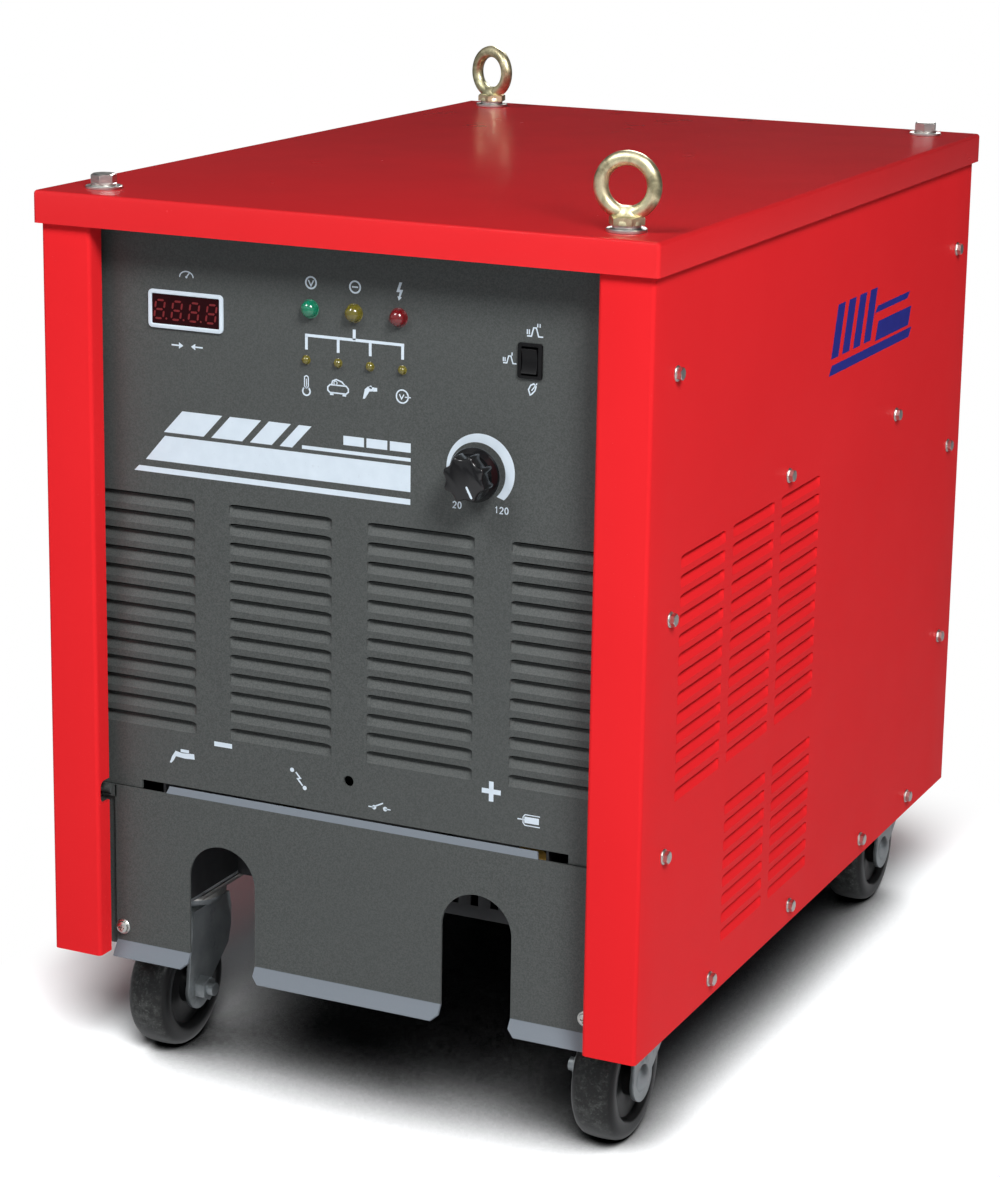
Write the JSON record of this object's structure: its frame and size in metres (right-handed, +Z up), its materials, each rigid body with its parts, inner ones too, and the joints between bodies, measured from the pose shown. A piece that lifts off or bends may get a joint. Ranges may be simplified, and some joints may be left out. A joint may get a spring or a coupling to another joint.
{
  "type": "plasma cutter unit",
  "caption": "Inverter power source for plasma cutting in a louvred sheet-steel cabinet on swivel casters, with lifting eyes, control panel and a hinged terminal cover.",
  "frame": {"origin": "on the floor under the middle of the top cover", "axes": "+X to the cabinet's right seen from the front, the front faces -Y, +Z up"},
  "size_m": [0.3812, 0.56, 0.5715],
  "materials": {
    "red_paint": "satin red powder coat",
    "grey_texture": "fine-textured dark grey powder coat",
    "dark_steel": "matt dark grey paint",
    "galvanised": "galvanised sheet",
    "bright_zinc": "bright zinc plate",
    "yellow_zinc": "yellow zinc plate",
    "caster_zinc": "dull zinc plate",
    "brass_fitting": "turned brass",
    "black_plastic": "moulded black plastic",
    "black_gloss": "glossy black phenolic",
    "cream_plastic": "moulded pale plastic",
    "white_print": "off-white",
    "display_red": "dark red window",
    "lamp_green": "green lens",
    "lamp_amber": "olive yellow lens",
    "lamp_red": "red lens",
    "circuit_board": "green circuit board",
    "bare_aluminium": "extruded aluminium",
    "capacitor_sleeve": "dark blue sleeve",
    "core_steel": "laminated steel, lacquered",
    "winding_copper": "enamelled copper",
    "wheel_rubber": "black rubber tread"
  },
  "bodies": {
    "cabinet": {"top_cover": "red_paint", "left_side_panel": "red_paint", "right_side_panel": "red_paint", "rear_panel": "red_paint", "front_panel": "grey_texture", "terminal_box": "dark_steel", "base_pan": "galvanised", "corner_posts": "galvanised", "top_frame": "galvanised", "shelf_rails": "galvanised", "shelf": "galvanised", "terminal_board": "black_plastic", "torch_terminal": "brass_fitting", "pilot_terminal": "brass_fitting", "work_terminal": "brass_fitting", "torch_switch_socket": "bright_zinc", "hinge_brackets": "bright_zinc", "eye_bolts": "yellow_zinc", "eye_bolt_washers": "bright_zinc", "cover_bolts": "bright_zinc", "side_screws": "bright_zinc", "rear_screws": "bright_zinc", "display_bezel": "white_print", "display_window": "display_red", "display_board": "circuit_board", "green_lamp": "lamp_green", "amber_lamp": "lamp_amber", "red_lamp": "lamp_red", "fault_lamps": "lamp_amber", "mode_switch_body": "black_plastic", "potentiometer": "bright_zinc", "heat_sink": "bare_aluminium", "power_modules": "black_plastic", "heat_sink_blocks": "cream_plastic", "bus_capacitors": "capacitor_sleeve", "transformer_core": "core_steel", "transformer_winding": "winding_copper", "output_choke": "winding_copper", "arc_starter": "black_plastic", "control_board": "circuit_board", "fan_frame": "black_plastic", "mains_gland": "black_plastic", "breaker_body": "cream_plastic", "air_valve": "brass_fitting", "caster_plates": "bright_zinc"},
    "terminal_door": {"terminal_cover": "grey_texture", "cover_screws": "bright_zinc"},
    "knob": {"current_knob": "black_gloss", "knob_pointer": "white_print"},
    "rocker": {"mode_rocker": "black_plastic"},
    "fan": {"fan_rotor": "black_plastic"},
    "breaker_handle": {"breaker_toggle": "black_plastic"},
    "fork_fl": {"caster_fork_fl": "caster_zinc"},
    "wheel_fl": {"caster_wheel_fl": "wheel_rubber"},
    "fork_fr": {"caster_fork_fr": "caster_zinc"},
    "wheel_fr": {"caster_wheel_fr": "wheel_rubber"},
    "fork_rl": {"caster_fork_rl": "caster_zinc"},
    "wheel_rl": {"caster_wheel_rl": "wheel_rubber"},
    "fork_rr": {"caster_fork_rr": "caster_zinc"},
    "wheel_rr": {"caster_wheel_rr": "wheel_rubber"}
  },
  "joints": [
    {"name": "terminal_cover_hinge", "type": "hinge", "parent": "cabinet", "child": "terminal_door", "pos_m": [0, -0.2589, 0.1755], "axis": [-1, 0, 0], "range_deg": [0, 80]},
    {"name": "knob_turn", "type": "hinge", "parent": "cabinet", "child": "knob", "pos_m": [0.0795, -0.2578, 0.3924], "axis": [0, -1, 0], "range_deg": [0, 300]},
    {"name": "mode_rocker_tilt", "type": "hinge", "parent": "cabinet", "child": "rocker", "pos_m": [0.1085, -0.2553, 0.4564], "axis": [1, 0, 0], "range_deg": [-9, 9]},
    {"name": "fan_spin", "type": "hinge", "parent": "cabinet", "child": "fan", "pos_m": [0, 0.2412, 0.228], "axis": [0, 1, 0], "continuous": true},
    {"name": "breaker_toggle_flip", "type": "hinge", "parent": "cabinet", "child": "breaker_handle", "pos_m": [-0.118, 0.2588, 0.419], "axis": [-1, 0, 0], "range_deg": [0, 48]},
    {"name": "swivel_fl", "type": "hinge", "parent": "cabinet", "child": "fork_fl", "pos_m": [-0.146, -0.189, 0.0875], "axis": [0, 0, 1], "continuous": true},
    {"name": "roll_fl", "type": "hinge", "parent": "fork_fl", "child": "wheel_fl", "pos_m": [-0.146, -0.207, 0.0375], "axis": [1, 0, 0], "continuous": true},
    {"name": "swivel_fr", "type": "hinge", "parent": "cabinet", "child": "fork_fr", "pos_m": [0.146, -0.189, 0.0875], "axis": [0, 0, 1], "continuous": true},
    {"name": "roll_fr", "type": "hinge", "parent": "fork_fr", "child": "wheel_fr", "pos_m": [0.146, -0.207, 0.0375], "axis": [1, 0, 0], "continuous": true},
    {"name": "swivel_rl", "type": "hinge", "parent": "cabinet", "child": "fork_rl", "pos_m": [-0.146, 0.24, 0.0875], "axis": [0, 0, 1], "continuous": true},
    {"name": "roll_rl", "type": "hinge", "parent": "fork_rl", "child": "wheel_rl", "pos_m": [-0.146, 0.222, 0.0375], "axis": [1, 0, 0], "continuous": true},
    {"name": "swivel_rr", "type": "hinge", "parent": "cabinet", "child": "fork_rr", "pos_m": [0.146, 0.24, 0.0875], "axis": [0, 0, 1], "continuous": true},
    {"name": "roll_rr", "type": "hinge", "parent": "fork_rr", "child": "wheel_rr", "pos_m": [0.146, 0.222, 0.0375], "axis": [1, 0, 0], "continuous": true}
  ]
}
